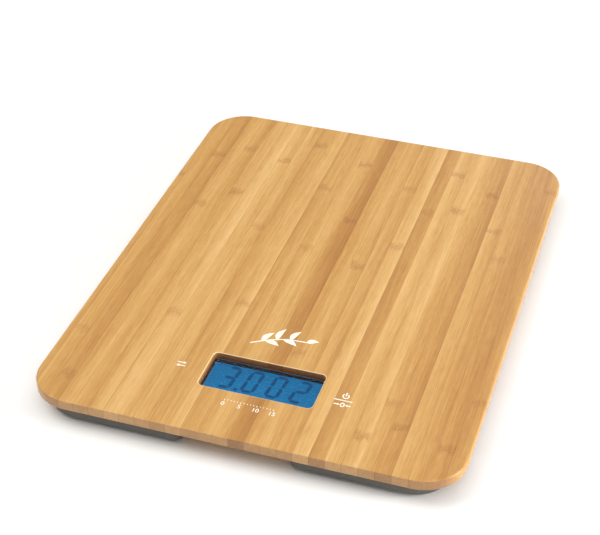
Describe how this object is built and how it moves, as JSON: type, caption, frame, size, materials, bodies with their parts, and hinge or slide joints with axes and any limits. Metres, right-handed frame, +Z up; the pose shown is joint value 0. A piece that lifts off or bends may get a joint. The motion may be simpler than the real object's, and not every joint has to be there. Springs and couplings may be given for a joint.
{
  "type": "kitchen scale",
  "caption": "Flat electronic kitchen scale: rounded bamboo platform on corner load cell feet, with a backlit display in a window near the front edge.",
  "frame": {"origin": "on the table under the middle of the platform, at the level of the foot pads' undersides", "axes": "+X to the right and +Z up as the user faces the display; the front edge with the display is at -Y, and +Y points away from the user along the platform's longer side"},
  "size_m": [0.2, 0.258, 0.0141],
  "materials": {
    "bamboo": "satin lacquer",
    "dark_plastic": "fine texture",
    "foot_rubber": "matt",
    "spring_steel": "bright",
    "screw_steel": "zinc plated",
    "nickel": "nickel plated",
    "cast_zinc": "die-cast zinc, as cast",
    "white_plastic": "moulded",
    "cable_sheath": "matt",
    "red_wire": "satin",
    "black_wire": "satin",
    "board_green": "solder mask",
    "black_epoxy": "glossy",
    "lens_clear": "polished",
    "gasket_foam": "matt",
    "lcd_glass": "polished",
    "light_guide_clear": "polished",
    "connector_rubber": "matt"
  },
  "bodies": {
    "platform": {"bamboo_platform": "bamboo", "foot_housing_front_left": "dark_plastic", "load_cell_front_left": "spring_steel", "housing_screw_front_left_1": "screw_steel", "housing_screw_front_left_2": "screw_steel", "load_cell_cable_front_left": "cable_sheath", "foot_housing_front_right": "dark_plastic", "load_cell_front_right": "spring_steel", "housing_screw_front_right_1": "screw_steel", "housing_screw_front_right_2": "screw_steel", "load_cell_cable_front_right": "cable_sheath", "foot_housing_rear_right": "dark_plastic", "load_cell_rear_right": "spring_steel", "housing_screw_rear_right_1": "screw_steel", "housing_screw_rear_right_2": "screw_steel", "load_cell_cable_rear_right": "cable_sheath", "foot_housing_rear_left": "dark_plastic", "load_cell_rear_left": "spring_steel", "housing_screw_rear_left_1": "screw_steel", "housing_screw_rear_left_2": "screw_steel", "load_cell_cable_rear_left": "cable_sheath", "electronics_tray": "dark_plastic", "tray_screw_1": "screw_steel", "tray_screw_2": "screw_steel", "tray_screw_3": "screw_steel", "tray_screw_4": "screw_steel", "board_screw_left": "screw_steel", "board_screw_right": "screw_steel", "coin_cell_left": "nickel", "coin_cell_right": "nickel", "battery_contact_positive": "nickel", "battery_contact_bridge": "nickel", "battery_contact_negative": "nickel", "crystal": "nickel", "battery_lead_positive": "red_wire", "battery_lead_negative": "black_wire", "circuit_board": "board_green", "touch_spring_set": "spring_steel", "touch_spring_tare": "spring_steel", "controller_chip": "black_epoxy", "capacitor": "black_epoxy", "display_lens": "lens_clear", "display_gasket": "gasket_foam", "lcd_glass": "lcd_glass", "lcd_frame": "white_plastic", "reflector_film": "white_plastic", "backlight_led_left": "white_plastic", "backlight_led_right": "white_plastic", "light_guide": "light_guide_clear", "connector_strip": "connector_rubber"},
    "foot_front_left": {"foot_plunger_front_left": "cast_zinc", "foot_pad_front_left": "foot_rubber"},
    "foot_front_right": {"foot_plunger_front_right": "cast_zinc", "foot_pad_front_right": "foot_rubber"},
    "foot_rear_right": {"foot_plunger_rear_right": "cast_zinc", "foot_pad_rear_right": "foot_rubber"},
    "foot_rear_left": {"foot_plunger_rear_left": "cast_zinc", "foot_pad_rear_left": "foot_rubber"},
    "battery_cover": {"battery_cover": "dark_plastic"}
  },
  "joints": [
    {"name": "foot_travel_front_left", "type": "slide", "parent": "platform", "child": "foot_front_left", "axis": [0, 0, 1], "range_m": [0, 0.0005], "stiffness_N_per_m": 30000, "springref_m": -0.00005},
    {"name": "foot_travel_front_right", "type": "slide", "parent": "platform", "child": "foot_front_right", "axis": [0, 0, 1], "range_m": [0, 0.0005], "stiffness_N_per_m": 30000, "springref_m": -0.00005},
    {"name": "foot_travel_rear_right", "type": "slide", "parent": "platform", "child": "foot_rear_right", "axis": [0, 0, 1], "range_m": [0, 0.0005], "stiffness_N_per_m": 30000, "springref_m": -0.00005},
    {"name": "foot_travel_rear_left", "type": "slide", "parent": "platform", "child": "foot_rear_left", "axis": [0, 0, 1], "range_m": [0, 0.0005], "stiffness_N_per_m": 30000, "springref_m": -0.00005},
    {"name": "battery_cover_slide", "type": "slide", "parent": "platform", "child": "battery_cover", "axis": [0, 1, 0], "range_m": [0, 0.024]}
  ]
}
